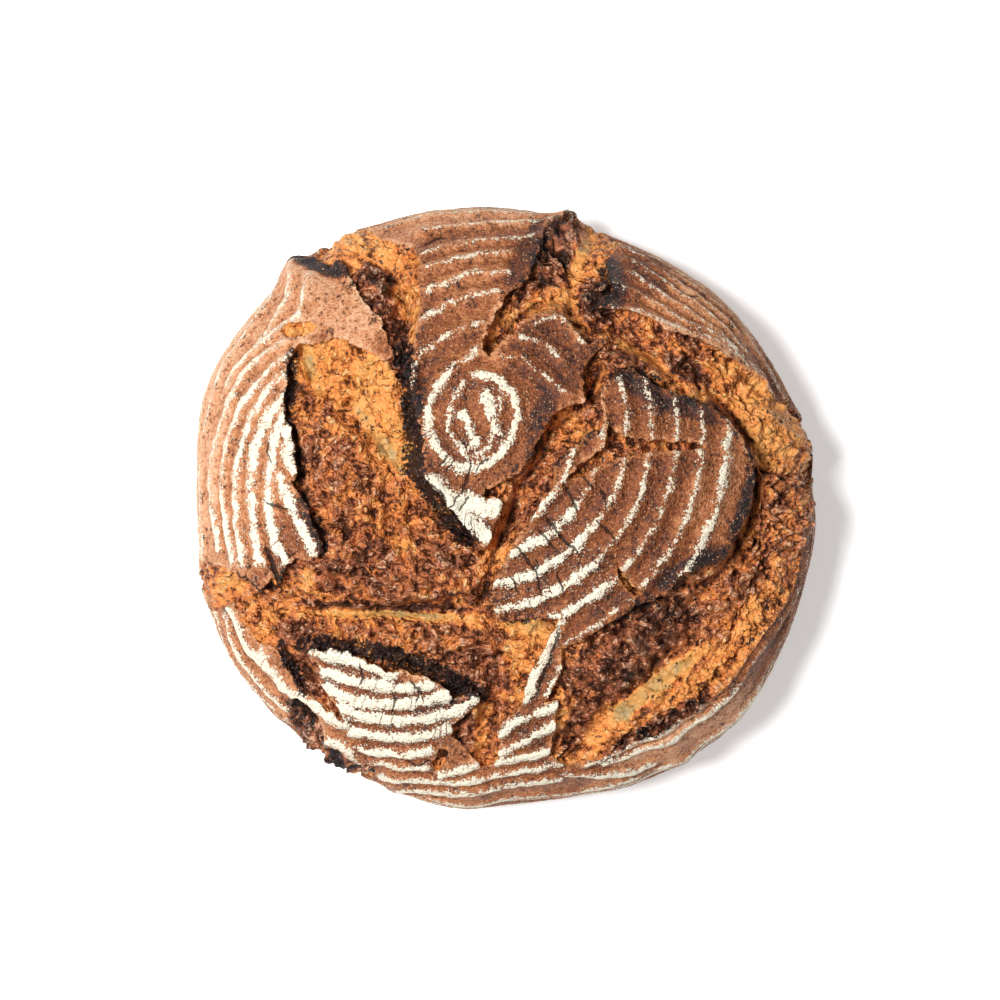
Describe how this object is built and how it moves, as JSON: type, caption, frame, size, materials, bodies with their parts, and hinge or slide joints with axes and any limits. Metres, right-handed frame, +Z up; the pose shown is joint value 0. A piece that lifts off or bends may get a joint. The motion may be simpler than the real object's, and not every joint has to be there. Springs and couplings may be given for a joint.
{
  "type": "sourdough loaf",
  "caption": "Round rustic bread loaf with a flat base, whose ringed, floured crust is torn open in plates over craggy, browned crumb.",
  "frame": {"origin": "middle of the flat base's underside, on the surface that the loaf stands on", "axes": "+Z up through the crust's crown, +X to the right and +Y away from a person who looks down on the loaf"},
  "size_m": [0.2492, 0.241, 0.0992],
  "materials": {
    "crust": "baked bread crust: mid-brown with pale flour rings, orange-brown torn crumb and burnt edges, matte"
  },
  "bodies": {
    "root": {"loaf": "crust"}
  },
  "joints": []
}
